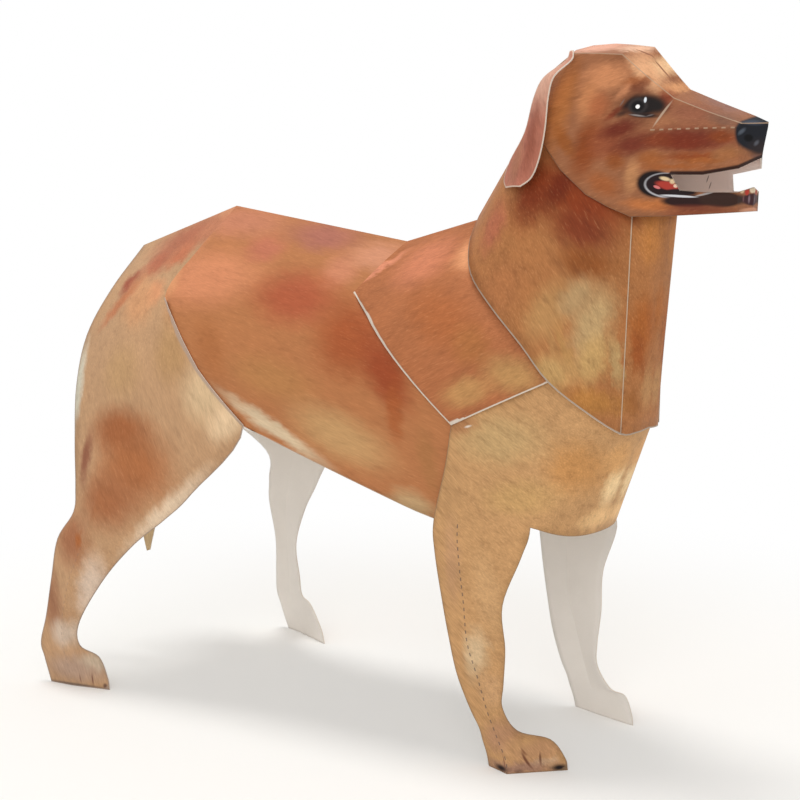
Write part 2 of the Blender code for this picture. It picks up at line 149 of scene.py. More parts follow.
def makeFloor():
    data = bpy.data.meshes.new("floor")
    disc = bmesh.new()
    bmesh.ops.create_circle(disc, cap_ends=True, segments=96, radius=studio["floorRadius"])
    disc.to_mesh(data)
    disc.free()
    material = bpy.data.materials.new("paleFloor")
    material.use_nodes = True
    paint = Wiring(material.node_tree)
    matt = paint.nodes["Principled BSDF"]
    paint.fill(matt, {"Base Color": studio["floor"], "Roughness": 0.9, "Specular IOR Level": 0.1})
    # far from the object the floor melts into the white background
    place = paint.add("TexCoord", {}).outputs["Object"]
    reach = paint.add("VectorMath", {0: place}, operation="LENGTH").outputs["Value"]
    fade = paint.ramp(reach, studio["bleachFrom"], studio["bleachTo"], 1.0, studio["bleach"])
    seen = paint.math("MULTIPLY", fade, paint.add("LightPath", {}).outputs["Is Camera Ray"])
    backdrop = paint.add("Emission", {"Color": white})
    blend = paint.add("MixShader", {0: seen, 1: matt.outputs[0], 2: backdrop.outputs[0]})
    paint.fill(paint.nodes["Material Output"], {"Surface": blend.outputs[0]})
    data.materials.append(material)
    addObject("floor", data)


makeCamera()
makeStudio()
makeFloor()
print("camera, light and floor made")


# Printed card: fields of colour, fur and fine lines, all placed in the model's millimetres

paper = {"gloss": 0.14, "tooth": 0.22, "toothStrength": 0.12}
printed = {"roughness": 0.58, "toothDepth": 0.02}
bare = {"roughness": 0.7, "toothDepth": 0.03, "hair": 10, "shade": (170, 160, 148), "fibre": (255, 252, 246)}
# hairs, tufts and clouds of the fur: grain in mm, detail, roughness, turn from the hair, stretch, share
furGrains = [(0.34, 4.0, 0.65, 0, 9.0, 1.5), (1.6, 4.0, 0.6, 8, 3.6, 0.9), (8.0, 3.0, 0.55, 0, 1.8, 0.7)]
# an oval with no depth of its own goes through both sides: its middle and half depth in mm
throughMiddle, throughHalf = 20.0, 90.0


def seenColour(red, green, blue):
    # a colour as seen, 0 to 255, made linear
    values = []
    for value in (red, green, blue):
        value /= 255
        values.append(value / 12.92 if value <= 0.04045 else ((value + 0.055) / 1.055) ** 2.4)
    return (*values, 1)


def throughSheet(pair, depth):
    return (pair[0], depth, pair[1]) if len(pair) == 2 else pair


class Look(Wiring):
    # a material that is painted step by step

    def __init__(self, name, hair, base):
        self.material = bpy.data.materials.new(name)
        self.material.use_nodes = True
        super().__init__(self.material.node_tree)
        self.hair = hair  # the way the hair lies in the side view, in degrees
        self.colour = seenColour(*base)
        # the model's millimetres, and the same with the left side folded onto the right one
        place = self.add("TexCoord", {}).outputs["Object"]
        scale = {"Vector": place, "Location": -modelShift, "Scale": (1 / mm, 1 / mm, 1 / mm)}
        self.real = self.add("Mapping", scale).outputs[0]
        parts = self.add("SeparateXYZ", {0: self.real}).outputs
        folded = self.math("ABSOLUTE", parts["Y"], 0.0)
        self.spot = self.add("CombineXYZ", {"X": parts["X"], "Y": folded, "Z": parts["Z"]}).outputs[0]

    def vector(self, operation, first, second):
        return self.add("VectorMath", {0: first, 1: second}, operation=operation).outputs[0]

    def scaled(self, value, factor):
        return self.add("VectorMath", {0: value, "Scale": factor}, operation="SCALE").outputs[0]

    def noise(self, size, detail, roughness, tilt=0.0, stretch=1.0):
        # noise with grains of a size in mm, drawn out along a tilted direction in the side view
        turn = {"Rotation": (0, -math.radians(tilt), 0), "Scale": (size * stretch, size, size)}
        place = self.add("Mapping", {"Vector": self.real, **turn}, vector_type="TEXTURE").outputs[0]
        grain = {"Scale": 1.0, "Detail": detail, "Roughness": roughness}
        return self.add("TexNoise", {"Vector": place, **grain}).outputs

    def ruffle(self, amount, size):
        # moves the places a little this way and that, so that painted edges break up like fur
        grain = self.noise(size, 3.0, 0.6, self.hair, 2.5)["Color"]
        centred = self.vector("SUBTRACT", grain, (0.5, 0.5, 0.5))
        self.furry = self.vector("ADD", self.spot, self.scaled(centred, amount))

    def tint(self, share, colour):
        # sockets 6 and 7 of a Mix node are its two colours, and output 2 is the mixed one
        mix = self.add("Mix", {"Factor": share, 6: self.colour, 7: seenColour(*colour)}, data_type="RGBA")
        self.colour = mix.outputs[2]

    def mask(self, centre, size, tilt, soft, where):
        # an oval: centre and half sizes in mm, tilt in degrees in the side view
        shape = {"Location": throughSheet(centre, throughMiddle), "Scale": throughSheet(size, throughHalf)}
        turn = {"Vector": where, "Rotation": (0, -math.radians(tilt), 0)}
        place = self.add("Mapping", {**shape, **turn}, vector_type="TEXTURE").outputs[0]
        ball = self.add("TexGradient", {"Vector": place}, gradient_type="SPHERICAL")
        return self.ramp(ball.outputs["Fac"], 0.0, soft)

    def patch(self, where, centre, size, colour, tilt=0.0, strength=1.0, soft=0.8):
        share = self.mask(centre, size, tilt, soft, where)
        if strength != 1.0:
            share = self.math("MULTIPLY", share, strength)
        self.tint(share, colour)

    def strokes(self, grain, low, high, colour, strength):
        self.tint(self.ramp(grain["Fac"], low, high, strength), colour)

    def fur(self, strength, dark, light):
        # fine hairs, tufts and soft clouds of light and shade along the way the hair lies
        grains = []
        shade = 1.0
        for size, detail, roughness, turn, stretch, share in furGrains:
            grains.append(self.noise(size, detail, roughness, self.hair + turn, stretch))
            part = self.math("SUBTRACT", grains[-1]["Fac"], 0.5)
            shade = self.math("ADD", self.math("MULTIPLY", part, strength * share), shade)
        self.colour = self.scaled(self.colour, shade)
        hairs, tufts = grains[:2]
        self.strokes(tufts, 0.46, 0.28, dark, strength * 0.3)
        self.strokes(hairs, 0.56, 0.78, light, strength * 0.3)

    def near(self, line, width, sharpness, strength):
        # how near a point is to a line whose distance is stored on the mesh
        distance = self.add("Attribute", {}, attribute_name=line).outputs["Fac"]
        return self.ramp(distance, width, width * sharpness, strength)

    def litCardEdge(self, width, colour, strength):
        # a line along each cut edge: the card's own edge colour, with painted highlight where the edge
        # catches the light
        self.tint(self.near("edge", width, 0.55, strength), colour)

    def foldLine(self, width, colour, strength, dash=1.9):
        # short printed dashes along a fold
        along = self.add("Attribute", {}, attribute_name="run").outputs["Fac"]
        beat = self.ramp(self.math("FRACT", self.math("DIVIDE", along, dash), 0.0), 0.5, 0.42)
        self.tint(self.math("MULTIPLY", self.near("fold", width, 0.4, strength), beat), colour)

    def litSeamLine(self, width, colour, strength):
        # a pale line along a seam: painted highlight where the seam's edge catches the light
        self.tint(self.near("crease", width, 0.4, strength), colour)

    def rim(self, width, colour, centre, size):
        # a soft dark border along a cut edge, inside an oval
        share = self.mask(centre, size, 0.0, 0.15, self.spot)
        self.tint(self.math("MULTIPLY", self.near("edge", width, 0.5, 0.95), share), colour)

    def finish(self, surface):
        # a paper surface: barely any gloss, and a fine tooth
        tooth = self.noise(paper["tooth"], 3.0, 0.6)["Fac"]
        depth = {"Strength": paper["toothStrength"], "Distance": surface["toothDepth"] * mm}
        bump = self.add("Bump", {"Height": tooth, **depth}).outputs[0]
        shine = {"Roughness": surface["roughness"], "Specular IOR Level": paper["gloss"]}
        self.fill(self.nodes["Principled BSDF"], {"Base Color": self.colour, "Normal": bump, **shine})
        return self.material


def printedCard(name, design):
    look = Look(name, design["hair"], design["base"])
    look.ruffle(*design.get("ruffle", (3.6, 2.2)))
    for field in design["fields"]:
        look.patch(look.furry, *field)
    look.fur(*design["fur"])
    for mark in design.get("marks", []):
        look.patch(look.spot, *mark)
    for kind in ("foldLine", "litSeamLine", "rim", "litCardEdge"):
        if kind in design:
            getattr(look, kind)(*design[kind])
    return look.finish(printed)


def plainCard(name, colour, mottle=0.06, marks=()):
    look = Look(name, bare["hair"], colour)
    look.strokes(look.noise(9.0, 3.0, 0.6), 0.35, 0.7, bare["shade"], mottle)
    look.strokes(look.noise(0.35, 3.0, 0.7, look.hair, 4.0), 0.5, 0.75, bare["fibre"], mottle * 1.4)
    for mark in marks:
        look.patch(look.spot, *mark)
    return look.finish(bare)


# Prints. Each field or mark: centre, half sizes, colour, then tilt, strength and softness where they matter

scratches = [
    ((29.7, 142.8), (0.2, 1.2), (120, 100, 92), -20, 0.8, 0.5),
    ((30.4, 141.2), (0.2, 1.2), (120, 100, 92), -20, 0.8, 0.5),
]
bareCard = plainCard("bareCard", (236, 229, 221))
mouthCard = plainCard("mouthCard", (240, 222, 214), marks=scratches)
cutEdge = plainCard("cutEdge", (226, 214, 202), 0.1)
furDark = (112, 56, 30)
furLight = (240, 200, 150)

flankPrint = {
    "base": (180, 118, 75), "hair": -18, "fur": (0.27, furDark, furLight),
    "litCardEdge": (0.3, (214, 196, 176), 0.5),
    "fields": [
        ((-102.8, 115.9), (26.5, 11.3), (209, 137, 98), 2),
        ((-100.8, 130.7), (23.8, 6.6), (196, 128, 97), -3),
        ((-113, 124), (6.5, 5), (204, 134, 96), 30),
        ((-115.5, 114.5), (5, 6.4), (214, 149, 105), 20),
        ((-88, 124), (9, 5), (190, 115, 87), -6),
        ((-62, 119), (8, 6), (200, 131, 97), -12),
        ((-72.6, 127.4), (16.6, 5.3), (171, 106, 92), -7, 0.85),
        ((-53.9, 122.8), (12.8, 5.2), (204, 141, 109), -7, 0.9),
        ((-71.8, 111.9), (19.4, 10), (173, 88, 59), -6, 0.9),
        ((-51.4, 102.9), (17.2, 13.5), (161, 83, 46), -28, 0.95),
        ((-38.6, 95.5), (16.7, 8.5), (153, 73, 41), -49),
        ((-35, 86), (3.5, 10.8), (166, 88, 45), 5, 0.7),
        ((-95, 97.5), (12.6, 6.6), (174, 110, 66), -55, 0.9),
        ((-73.3, 91.6), (20.2, 7.5), (181, 126, 77), -11, 0.9),
        ((-51.6, 78.5), (23.5, 9.2), (195, 151, 102), -19),
        ((-25.9, 74.3), (4.3, 12.3), (170, 115, 70), 6, 0.85),
        ((-32, 62.5), (9.5, 5.8), (194, 164, 121), -11, 0.8),
        ((-73, 78.6), (27, 3.2), (215, 192, 159), -26, 0.95),
    ],
}
flapPrint = {
    "base": (173, 107, 68), "hair": 28, "fur": (0.42, furDark, furLight),
    "litCardEdge": (0.42, (226, 214, 200), 0.95),
    "fields": [
        ((-37.3, 121.9), (13.5, 8), (205, 128, 93), 23),
        ((-21.8, 125), (9.4, 6.4), (231, 162, 116), 19),
        ((-25.4, 109.2), (17.5, 8.7), (172, 102, 60), -24),
        ((-15, 103.5), (8.6, 6.2), (170, 108, 62), -34, 0.9),
        ((-3.1, 97.2), (11.3, 6.3), (183, 137, 86), -14),
        ((-14.4, 92.6), (10.4, 4.8), (190, 140, 88), 17),
        # a thin pale line along the soft crease behind the flap: painted highlight where the crease catches
        # the light
        ((-51.2, 119.9), (9.8, 1.6), (237, 155, 124), 38, 0.6),
    ],
}
thighPrint = {
    "base": (190, 150, 113), "hair": -66, "fur": (0.36, (128, 76, 48), (240, 208, 168)),
    "litCardEdge": (0.34, (172, 150, 136), 0.8), "foldLine": (0.2, (128, 112, 104), 0.3),
    "fields": [
        ((-103, 131), (22, 9), (206, 142, 105), -3),
        ((-118.3, 126.4), (21.9, 8), (172, 105, 77), 17),
        ((-125.4, 118.6), (9, 5.4), (176, 101, 74), 34, 0.9),
        ((-117, 121.5), (7.5, 4.2), (190, 116, 83), 40),
        ((-111.5, 128.5), (6.5, 3.6), (185, 120, 88), 30),
        ((-133, 113.5), (6, 3.6), (154, 78, 57), 48),
        ((-120.5, 111), (6, 5.4), (213, 148, 107), 40),
        ((-125.5, 109), (8.6, 11.3), (205, 151, 109), 42),
        ((-133.5, 107.8), (13.3, 3), (186, 115, 77), 52, 0.85),
        ((-105.5, 107.9), (10.6, 9.6), (187, 125, 73), -42, 0.9),
        ((-107.3, 96.3), (8.5, 12.4), (183, 143, 100), 15),
        ((-124.6, 89.9), (10.3, 10.5), (189, 150, 108)),
        ((-94.6, 85.7), (11.1, 12.4), (212, 181, 142), 36),
        ((-87.2, 79.6), (11.4, 6.8), (230, 198, 159), 41),
        ((-117.5, 64.8), (18.7, 17), (171, 108, 67), 6),
        ((-123.8, 74.1), (16.1, 9.4), (163, 100, 61), 5),
        ((-125.9, 54.8), (14, 12.5), (167, 107, 70), 28),
        ((-144.1, 83.6), (3.5, 17.1), (224, 220, 200), 2, 0.85),
        ((-135.5, 65.2), (3.4, 10.3), (122, 48, 32), 0, 0.7),
        ((-108.8, 51.8), (27.9, 4.7), (224, 198, 169), 43),
        ((-137.3, 42.4), (9.2, 11.3), (159, 102, 70), 7, 0.9),
        ((-134.4, 42.6), (1.9, 3.7), (170, 98, 49), 4, 0.8),
        ((-144.7, 24.3), (6.4, 15.4), (160, 112, 82), 12),
        ((-133, 28), (4.8, 16.4), (215, 191, 170), -15),
        ((-140.9, 15.1), (6.3, 6.3), (207, 184, 163)),
        ((-137.8, 5.1), (15.1, 6), (179, 149, 128), 2),
        ((-131.9, 7.2), (7.9, 3.1), (198, 178, 154), -6, 0.8),
    ],
    "marks": [
        ((-138, 0.2), (14, 0.9), (92, 84, 78), 0, 0.8),
        ((-132.6, 2.4), (0.4, 2.4), (116, 74, 60), 12, 0.8),
        ((-136.4, 2.2), (0.35, 2), (116, 74, 60), 14, 0.6),
        ((-128.6, 1), (1, 1.1), (84, 56, 54), 0, 0.8),
    ],
}
chestPrint = {
    "base": (194, 149, 102), "hair": -40, "fur": (0.5, (126, 74, 38), (238, 206, 158)),
    "litCardEdge": (0.26, (150, 124, 98), 0.6), "foldLine": (0.24, (96, 84, 78), 0.75),
    "fields": [
        ((-6.2, 81.5), (14.9, 9.1), (192, 157, 109), 5),
        ((-16.6, 84.4), (7.8, 3.4), (167, 115, 76), 14, 0.8),
        ((9.5, 75), (8.1, 9.9), (192, 134, 74), -13, 0.65),
        ((-1.9, 67.5), (11.8, 6.3), (199, 158, 103), 6, 0.8),
        ((13.5, 4.4, 69.3), (8.7, 6, 2.1), (241, 207, 156), 70),
        ((10.3, 5.6, 60.9), (7.1, 10, 3.4), (231, 187, 133), 25),
        ((15.9, 5.8, 76.1), (3.6, 8, 6.6), (210, 158, 102), -14),
        ((-18.7, 50.8), (3.4, 15), (192, 147, 108), 0, 0.8),
        ((-10.2, 42.4), (5.1, 14.8), (200, 158, 112), 8, 0.7),
        ((-13.1, 27.5), (4.4, 9.2), (221, 201, 166), 0, 0.5),
        ((-9.1, 18.7), (4, 6.5), (205, 161, 117), 10, 0.8),
        ((-6.4, 7.8), (6.2, 5.5), (187, 141, 106), 11, 0.95),
        ((3.1, 5.2), (8.8, 4), (182, 137, 99), 12, 0.95),
        # a darker band along the bottom of the front feet: the pads' print, with painted shade where the
        # feet meet the floor
        ((-1, 1), (13, 2.4), (153, 116, 101), 0, 0.8),
        ((4.6, 2.4), (3, 1.6), (191, 159, 131), 10, 0.6),
    ],
    "marks": [
        ((-4.6, 27, 0.9), (3.4, 3, 1.3), (38, 28, 28)),
        ((0.4, 27, 0.5), (2, 3.5, 1.2), (58, 42, 40)),
        ((7.4, 19, 0.8), (2.6, 5, 1.3), (36, 28, 28)),
        ((0.9, 3), (3.4, 0.4), (104, 60, 44), -57, 0.9),
        ((-3.4, 2.7), (2.5, 0.34), (122, 76, 58), -72, 0.7),
        ((3.5, 3.2), (2.2, 0.35), (100, 58, 42), -78, 0.8),
        ((0.1, 4.9), (1.7, 0.3), (120, 72, 50), -47, 0.7),
        ((-13.9, 84.3), (1.4, 0.4), (240, 232, 220), 18, 0.7),
    ],
}
neckPrint = {
    "base": (171, 113, 68), "hair": -56, "fur": (0.5, (104, 46, 24), (238, 204, 150)),
    "litCardEdge": (0.42, (184, 168, 152), 0.95), "litSeamLine": (0.34, (196, 180, 160), 0.85),
    "fields": [
        ((9, 138.5), (19, 9.4), (136, 59, 26), -24),
        ((-3.3, 139.8), (8.8, 13.3), (127, 55, 27), -24),
        ((9.2, 131), (13, 7), (121, 50, 25), -24, 0.9),
        ((3.2, 141), (4, 8), (109, 40, 18), -30, 0.9),
        ((-14.9, 131.5), (5.4, 9.7), (171, 100, 71), -16, 0.95),
        ((-9.3, 117.1), (9.6, 11), (171, 111, 68), -34),
        ((4.1, 112.1), (7, 11), (181, 135, 85), -25, 0.95),
        ((11.2, 123.6), (9.5, 5.2), (136, 74, 31), -18, 0.85),
        ((13.3, 109.5), (5.6, 13.6), (187, 154, 108), -10),
        ((8.6, 103.6), (1.8, 8.6), (182, 138, 83), 21, 0.75),
        ((17.7, 100.5), (1.5, 9), (185, 158, 108), 4, 0.7),
        ((6.3, 98.4), (7, 5.6), (197, 158, 102), -34, 0.9),
        ((14.2, 91.3), (7.6, 4.4), (176, 120, 62), -24),
        ((9.8, 115.5), (4.8, 7), (181, 146, 102), -20),
        ((13.8, 101), (4.2, 9), (195, 157, 101), -8, 0.9),
        ((6.2, 104), (1.4, 8), (178, 133, 83), 24, 0.7),
        ((23.7, 5.7, 129.3), (6.5, 7, 9.2), (190, 125, 67)),
        ((22.2, 6.3, 108), (6.1, 7, 11.2), (169, 98, 47), 3),
        ((21.2, 7.4, 101), (2.4, 4, 12.5), (151, 81, 38), 13, 0.9),
        ((22.8, 0.5, 112), (2.6, 3, 9.2), (176, 100, 38), 4, 0.6),
        ((21.4, 2.6, 93), (3, 4.6, 7.6), (185, 136, 87), 4, 0.95),
        ((20.2, 8.2, 90), (2.6, 4, 4.2), (154, 97, 51), 5, 0.9),
    ],
}
headPrint = {
    "base": (155, 101, 69), "hair": 196, "fur": (0.4, (98, 46, 26), (240, 196, 144)),
    "ruffle": (2, 1.2), "rim": (1.1, (38, 20, 20), (36.5, 149.6), (17, 7.4)),
    "litCardEdge": (0.16, (120, 104, 92), 0.5), "litSeamLine": (0.22, (180, 152, 128), 0.75),
    "foldLine": (0.26, (178, 150, 124), 0.7, 2),
    "fields": [
        ((7.3, 173.6), (11, 2.4), (228, 170, 145), 2),
        ((17.1, 173), (6, 1.6), (232, 187, 158), -2),
        ((23.3, 168.7), (4, 6), (237, 195, 150), -33),
        ((21.7, 167.1), (3, 9.7), (225, 169, 126), 39),
        ((27.4, 163.5), (3, 2.4), (217, 155, 108)),
        ((2.4, 160), (4.6, 15), (181, 114, 64), -12),
        ((13.1, 166.2), (8.4, 4.6), (208, 140, 96), 0, 0.9),
        ((9, 160.9), (4.4, 7), (199, 132, 86), 0, 0.8),
        ((9.6, 150), (5, 10.5), (143, 72, 34), -18, 0.95),
        ((14.2, 151), (6, 6), (149, 80, 51), 0, 0.9),
        ((4, 151.5), (2.6, 6), (154, 84, 30), 35, 0.7),
        ((14, 141.6), (6, 3.6), (164, 94, 52), -25, 0.9),
        ((16.6, 147), (3.4, 3.4), (145, 77, 34), 0, 0.8),
        ((17.5, 154.2), (7.4, 3), (107, 41, 27), 16, 0.95),
        ((20.6, 150.6), (7.6, 3.8), (112, 44, 30), 13, 0.9),
        ((16, 157.6), (4, 1.2), (115, 41, 21), 37, 0.85),
        ((20.8, 10.4, 165), (5, 4.6, 2), (154, 82, 37), 8, 0.8),
        ((17.6, 11.6, 162.6), (4.4, 4.6, 1.4), (205, 138, 97), 46, 0.9),
        ((27, 161), (2.2, 3.6), (129, 49, 28), 20, 0.8),
        ((33.5, 157.6), (9, 3.9), (143, 88, 64), -10),
        ((40.5, 156), (6.2, 2.2), (127, 87, 68), -19),
        ((37.5, 160), (10, 1.9), (145, 104, 90), -23),
        ((33.6, 152), (16.5, 4.2), (117, 55, 39), -1),
        ((31.8, 151), (11.5, 3.2), (116, 46, 27), -3, 0.9),
        ((40.4, 152.2), (4.6, 2), (136, 66, 32), 0, 0.9),
        ((26.4, 151.6), (5, 2.6), (130, 60, 33), 0, 0.7),
        ((34.9, 147.8), (12.2, 1.5), (142, 72, 37)),
        ((41.4, 148.2), (4.8, 2.3), (146, 97, 60), 19),
        ((30.2, 145.6), (12.4, 1.2), (157, 91, 50)),
        ((25, 147.4), (4.6, 2.7), (156, 90, 46), 0, 0.9),
        ((20.6, 143.5), (2.6, 5.4), (193, 137, 92), -9, 0.8),
        ((25, 136.9), (9.4, 2.2), (190, 114, 63), -4, 0.9),
        ((36, 135.5), (11.8, 1.4), (135, 74, 50), 3),
        ((41.5, 148.2), (3.6, 1.9), (162, 103, 64), 12, 0.9),
        ((35.6, 146.9), (7.4, 1.1), (158, 90, 45), 0, 0.9),
        ((21.2, 10.4, 163.9), (4, 4.6, 2.4), (114, 60, 39), 30, 0.7),
        ((12.3, 159.4), (4.4, 4.4), (172, 99, 61), 0, 0.8),
    ],
    "marks": [
        ((21.6, 159.4), (8.8, 5.6), (84, 42, 28), 0, 0.95, 1),  # the eye, inwards
        ((22.4, 159.5), (5.2, 3.3), (24, 17, 17), 0, 1, 0.55),
        ((25.4, 159.4), (3.8, 2.6), (26, 19, 18), -30),
        ((17.8, 157.7), (2.6, 1), (44, 26, 22), 20, 0.8, 0.9),
        ((19.2, 160), (3.5, 1.1), (34, 20, 18), 46, 1, 0.9),
        ((23, 157.2), (4.6, 0.8), (40, 26, 24), -4, 1, 0.7),
        ((21.2, 159.4), (2.7, 2.3), (58, 52, 52), 0, 1, 0.5),
        ((21.2, 159.3), (2.1, 1.8), (12, 10, 12), 0, 1, 0.5),
        ((21.4, 157.2), (2.6, 0.3), (150, 142, 140), -8, 0.8),
        ((24.2, 157.2), (1.2, 0.25), (130, 120, 118), 14, 0.6),
        ((17.6, 160.2), (0.25, 1.3), (120, 112, 110), -30, 0.6),
        ((21.2, 159.2), (0.55, 0.55), (255, 255, 255), 0, 1, 0.3),
        ((22.7, 160.7), (0.4, 0.8), (225, 232, 240), 0, 1, 0.5),
        ((26.8, 157.5), (4.2, 0.34), (186, 160, 138), 62, 0.8, 0.5),  # a fold
        ((19, 2.9, 171.5), (3.3, 0.34, 1.6), (146, 98, 72), -28, 1, 0.5),  # over the brow
        ((23.7, 3.3, 167.9), (3.9, 0.34, 1.6), (146, 98, 72), -46, 1, 0.5),
        ((46.8, 153.2), (3.9, 4.9), (28, 30, 37), 0, 1, 0.22),  # the nose
        ((46.8, 149.6), (2.3, 3.2), (44, 36, 38)),
        ((45.9, 155.4), (2.2, 0.9), (62, 70, 86), -8, 0.8),
        ((44.5, 153.4), (0.5, 1.3), (92, 100, 112), -29, 0.7),
        ((45.4, 152), (0.8, 1.1), (6, 6, 9), 0, 1, 0.5),
        ((46.4, 150.9), (0.4, 1), (104, 108, 118), -20, 0.6),
        ((46.7, 147.9), (1.6, 0.8), (120, 86, 78), 0, 0.7),
        ((26.1, 141.7), (4.9, 3.5), (26, 17, 19), -6, 1, 0.25),  # the corner of the mouth
        ((28.7, 141.4), (5.5, 3), (192, 190, 196), -4, 1, 0.12),
        ((28.98, 141.46), (5.5, 2.82), (34, 20, 23), -4, 1, 0.12),
        ((29.4, 141.2), (4.1, 1.2), (172, 60, 50), -13, 1, 0.4),
        ((28.2, 142.9), (1.7, 0.6), (224, 196, 156), -12, 1, 0.6),
        ((29.9, 142.3), (0.9, 0.8), (224, 196, 156), 0, 1, 0.6),
        ((30.6, 141.3), (0.6, 0.5), (240, 206, 180), 0, 1, 0.4),
        ((26.4, 141), (1, 0.4), (214, 120, 120), -20, 1, 0.4),
        ((33.4, 137.9), (7.2, 1.7), (44, 25, 24), 0, 1, 0.35),  # the lower lip
        ((40.4, 138.3), (5.6, 2.1), (54, 35, 29), 0, 1, 0.3),
        ((34.5, 136.4), (10.6, 1.1), (110, 52, 38), 0, 0.7),
        ((31.8, 139.9), (4.4, 0.9), (32, 20, 22), -3, 1, 0.4),
        ((31.2, 139), (4.9, 0.32), (206, 206, 212), -3, 1, 0.4),
        ((37, 139.5), (2.8, 0.26), (168, 160, 158), 14, 1, 0.4),
        ((45.2, 138.2), (1.1, 1.7), (60, 28, 34), 0, 1, 0.3),  # the front of the jaw
        ((45, 5, 140.5), (1.6, 1.5, 1.2), (234, 208, 170), 0, 1, 0.4),
        ((45, 0.6, 140.5), (1.6, 1.5, 1), (228, 206, 176), 0, 1, 0.4),
        ((45, 2.9, 140), (1.6, 1.1, 1), (186, 60, 48), 0, 1, 0.4),
        ((45.2, 1.8, 138.3), (1.6, 0.7, 1.4), (176, 150, 160), 0, 0.5),
        ((45.2, 4.2, 138.4), (1.6, 0.6, 1.2), (170, 120, 120), 0, 0.5),
        ((45.2, 135.7), (1.4, 0.9), (206, 146, 116), 0, 1, 0.4),
    ],
}
earPrint = {
    "base": (178, 112, 92), "hair": -75, "fur": (0.45, (100, 48, 40), (216, 164, 140)),
    "litCardEdge": (0.3, (228, 208, 190), 0.85),
    "fields": [
        ((-2, 168), (10, 14), (216, 170, 148), 0, 0.9),
        ((-4, 152), (3, 14), (142, 78, 60), -12, 0.7),
        ((-9, 147), (3, 9), (165, 110, 83), -12, 0.8),
    ],
}
tailPrint = {
    "base": (206, 176, 134), "hair": 100, "fur": (0.35, (140, 92, 56), (240, 214, 176)),
    "fields": [((-146, 112), (12, 14), (190, 124, 84))],
}
print("prints written")


# The trunk's skin, which the body, the bib and the foot of the neck all follow

trunk = {
    "tailRoot": (-140.0, 123.2), "rump": (-105.2, 135.0), "loin": (-48.7, 126.5), "withers": (-26.9, 132.6),
    "withersRise": 0.3, "hipHalf": 27.0, "chestHalf": 28.0, "widestHeight": 84.0, "bellyTuck": 5.0,
    "bellyDepth": 26.0, "rumpRounding": 0.22, "shoulderX": -19.0, "breastX": 20.0, "breastSlope": 0.375,
    "squareness": 2.2, "sideRounding": 2.2, "rumpReach": 18.0, "rumpLength": 23.0,
}


def mixed(a, b, t):
    if isinstance(a, (int, float)):
        return a + (b - a) * t
    return tuple(mixed(p, q, t) for p, q in zip(a, b))


def curved(keys, steps):
    # points on a smooth curve through the keys
    points = []
    last = len(keys) - 1
    for index in range(last):
        before, here = keys[max(index - 1, 0)], keys[index]
        there, after = keys[index + 1], keys[min(index + 2, last)]
        for step in range(steps):
            t = step / steps
            point = []
            for p, q, r, s in zip(before, here, there, after):
                slopeIn = (r - p) / 2 if index > 0 else r - q
                slopeOut = (s - q) / 2 if index + 2 <= last else r - q
                square, cube = t * t, t * t * t
                value = q * (2 * cube - 3 * square + 1) + slopeIn * (cube - 2 * square + t)
                point.append(value + r * (3 * square - 2 * cube) + slopeOut * (cube - square))
            points.append(tuple(point))
    points.append(tuple(keys[-1]))
    return points


def straight(keys, steps):
    points = []
    for here, there in zip(keys, keys[1:]):
        points += [mixed(here, there, step / steps) for step in range(steps)]
    points.append(tuple(keys[-1]))
    return points


def between(first, second, count):
    return [[mixed(a, b, k / count) for a, b in zip(first, second)] for k in range(count + 1)]


def ridge(x):
    turns = [trunk["tailRoot"], trunk["rump"], trunk["loin"], trunk["withers"]]
    if x <= turns[0][0]:
        return turns[0][1]
    for (xa, za), (xb, zb) in zip(turns, turns[1:]):
        if x <= xb:
            return mixed(za, zb, (x - xa) / (xb - xa))
    return turns[-1][1] + trunk["withersRise"] * (x - turns[-1][0])


def breast(z):
    return trunk["breastX"] + trunk["breastSlope"] * (z - trunk["widestHeight"])


def trunkHalf(x, z):
    top, widest, shoulder = ridge(x), trunk["widestHeight"], trunk["shoulderX"]
    hips = min(max((x - trunk["rump"][0]) / (shoulder - trunk["rump"][0]), 0.0), 1.0)
    half = mixed(trunk["hipHalf"], trunk["chestHalf"], hips)
    drop = min(max((top - z) / (top - widest), 0.0), 1.0)
    half *= 1 - (1 - drop) ** trunk["sideRounding"]
    if z < widest:
        half -= trunk["bellyTuck"] * ((widest - z) / trunk["bellyDepth"]) ** 2
    if x > shoulder:
        reach = min((x - shoulder) / (breast(z) - shoulder), 1.0)
        half *= (1 - reach ** trunk["squareness"]) ** (1 / trunk["squareness"])
    rearX = trunk["tailRoot"][0] + trunk["rumpReach"]
    if x < rearX:
        half *= 1 - trunk["rumpRounding"] * ((rearX - x) / trunk["rumpLength"]) ** 2
    return half


def skin(x, z, under=0.0):
    # the right side's point at x and z, moved a depth under the skin
    half = trunkHalf(x, z)
    if under == 0:
        return (x, -half, z)
    probe = 0.5
    alongSlope = (trunkHalf(x + probe, z) - trunkHalf(x - probe, z)) / (2 * probe)
    upSlope = (trunkHalf(x, z + probe) - trunkHalf(x, z - probe)) / (2 * probe)
    outward = Vector((-alongSlope, -1, -upSlope)).normalized()
    return (x - outward.x * under, min(-half - outward.y * under, 0.0), z - outward.z * under)


def mirrored(line):
    return [(x, -y, z) for x, y, z in line]


def onSide(line, side):
    return mirrored(line) if side == "left" else line


# Sheets of card: a line of points is drawn, then pulled row by row into a strip

def toFrame(point):
    return (Vector(point) + modelShift) * mm


def nearestOn(lines, place):
    # the distance to the nearest of some lines, and how far along that line it is, in mm
    best, where = 99.0, 0.0
    for line in lines:
        passed = 0.0
        for start, end in zip(line, line[1:]):
            share = geometry.intersect_point_line(place, start, end)[1]
            share = min(max(share, 0.0), 1.0)
            length = (end - start).length
            gap = (place - start.lerp(end, share)).length / mm
            if gap < best:
                best, where = gap, (passed + length * share) / mm
            passed += length
    return best, where


